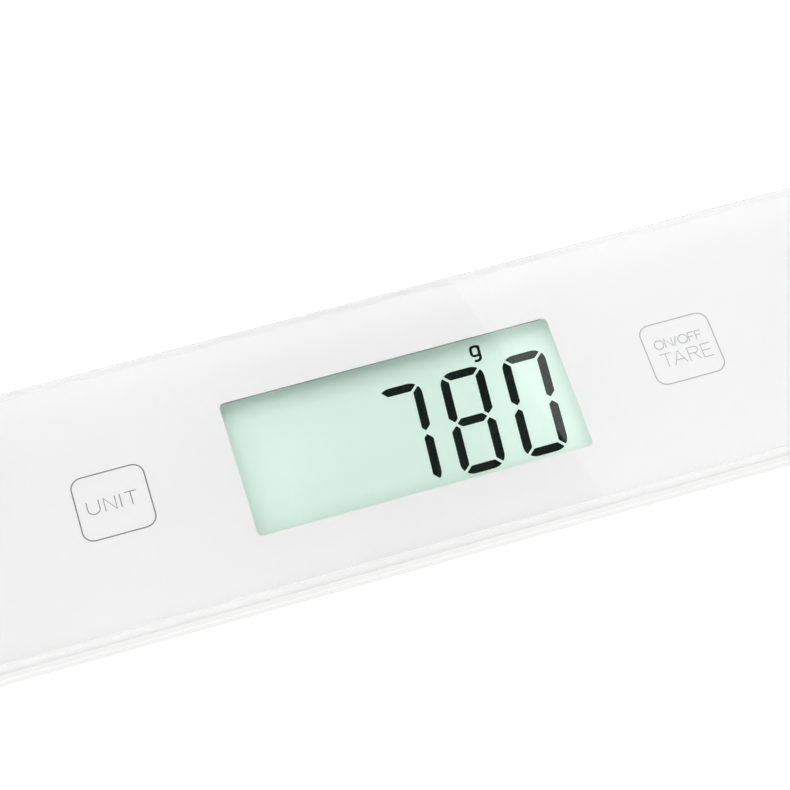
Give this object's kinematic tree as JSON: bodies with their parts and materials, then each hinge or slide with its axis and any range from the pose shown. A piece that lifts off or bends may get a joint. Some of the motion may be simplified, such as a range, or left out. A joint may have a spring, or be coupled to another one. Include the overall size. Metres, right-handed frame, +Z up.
{
  "type": "kitchen scale",
  "caption": "Slim bar-shaped digital kitchen scale: printed glass top with a recessed mint display and touch keys, a two-band white housing, feet on load cells and a battery door underneath.",
  "frame": {"origin": "on the table, under the middle of the scale", "axes": "+X along the bar to the user's right, +Y away from the user, +Z up"},
  "size_m": [0.23, 0.0484, 0.0132],
  "materials": {
    "adhesive_sheet": "matt",
    "black_sleeve": "matt",
    "can_aluminium": "satin",
    "cell_can": "bright nickel",
    "chip_resin": "matt",
    "display_glass": "polished",
    "gauge_foil": "matt",
    "green_board": "solder mask, satin",
    "grey_rubber": "matt",
    "lead_sleeve": "matt",
    "mint_film": "satin film",
    "printed_glass": "polished, back-printed white",
    "red_sleeve": "matt",
    "spring_bronze": "nickel plated",
    "white_abs": "satin gloss, fine moulded grain",
    "zebra_rubber": "matt",
    "zinc_steel": "zinc plated"
  },
  "bodies": {
    "housing": {"base_tray": "white_abs", "battery_contact_minus": "spring_bronze", "battery_contact_plus": "spring_bronze", "battery_lead_minus": "black_sleeve", "battery_lead_plus": "red_sleeve", "board_screw_1": "zinc_steel", "board_screw_2": "zinc_steel", "board_screw_3": "zinc_steel", "board_screw_4": "zinc_steel", "capacitor": "can_aluminium", "case_screw_1": "zinc_steel", "case_screw_2": "zinc_steel", "case_screw_3": "zinc_steel", "case_screw_4": "zinc_steel", "case_screw_5": "zinc_steel", "case_screw_6": "zinc_steel", "cell_lead_back_left": "lead_sleeve", "cell_lead_back_right": "lead_sleeve", "cell_lead_front_left": "lead_sleeve", "cell_lead_front_right": "lead_sleeve", "cell_seat_back_left": "white_abs", "cell_seat_back_right": "white_abs", "cell_seat_front_left": "white_abs", "cell_seat_front_right": "white_abs", "coin_cell": "cell_can", "controller_chip": "chip_resin", "converter_chip": "chip_resin", "glass_adhesive": "adhesive_sheet", "glass_top": "printed_glass", "lcd_cell": "display_glass", "lcd_holder": "white_abs", "lcd_reflector": "mint_film", "load_cell_back_left": "zinc_steel", "load_cell_back_right": "zinc_steel", "load_cell_front_left": "zinc_steel", "load_cell_front_right": "zinc_steel", "main_pcb": "green_board", "quartz_crystal": "zinc_steel", "strain_gauge_back_left": "gauge_foil", "strain_gauge_back_right": "gauge_foil", "strain_gauge_front_left": "gauge_foil", "strain_gauge_front_right": "gauge_foil", "touch_spring_left": "spring_bronze", "touch_spring_right": "spring_bronze", "upper_frame": "white_abs", "zebra_strip_back": "zebra_rubber", "zebra_strip_front": "zebra_rubber"},
    "battery_door": {"battery_door": "white_abs"},
    "front_left_foot": {"foot_front_left": "white_abs", "foot_pad_front_left": "grey_rubber"},
    "front_right_foot": {"foot_front_right": "white_abs", "foot_pad_front_right": "grey_rubber"},
    "back_left_foot": {"foot_back_left": "white_abs", "foot_pad_back_left": "grey_rubber"},
    "back_right_foot": {"foot_back_right": "white_abs", "foot_pad_back_right": "grey_rubber"}
  },
  "joints": [
    {"name": "battery_door_hinge", "type": "hinge", "parent": "housing", "child": "battery_door", "pos_m": [0.0648, 0, 0.0028], "axis": [0, 1, 0], "range_deg": [0, 100]},
    {"name": "front_left_foot_press", "type": "slide", "parent": "housing", "child": "front_left_foot", "axis": [0, 0, 1], "range_m": [0, 0.0004], "stiffness_N_per_m": 300, "springref_m": -0.005, "deforming": ["load_cell_front_left"]},
    {"name": "front_right_foot_press", "type": "slide", "parent": "housing", "child": "front_right_foot", "axis": [0, 0, 1], "range_m": [0, 0.0004], "stiffness_N_per_m": 300, "springref_m": -0.005, "deforming": ["load_cell_front_right"]},
    {"name": "back_left_foot_press", "type": "slide", "parent": "housing", "child": "back_left_foot", "axis": [0, 0, 1], "range_m": [0, 0.0004], "stiffness_N_per_m": 300, "springref_m": -0.005, "deforming": ["load_cell_back_left"]},
    {"name": "back_right_foot_press", "type": "slide", "parent": "housing", "child": "back_right_foot", "axis": [0, 0, 1], "range_m": [0, 0.0004], "stiffness_N_per_m": 300, "springref_m": -0.005, "deforming": ["load_cell_back_right"]}
  ]
}
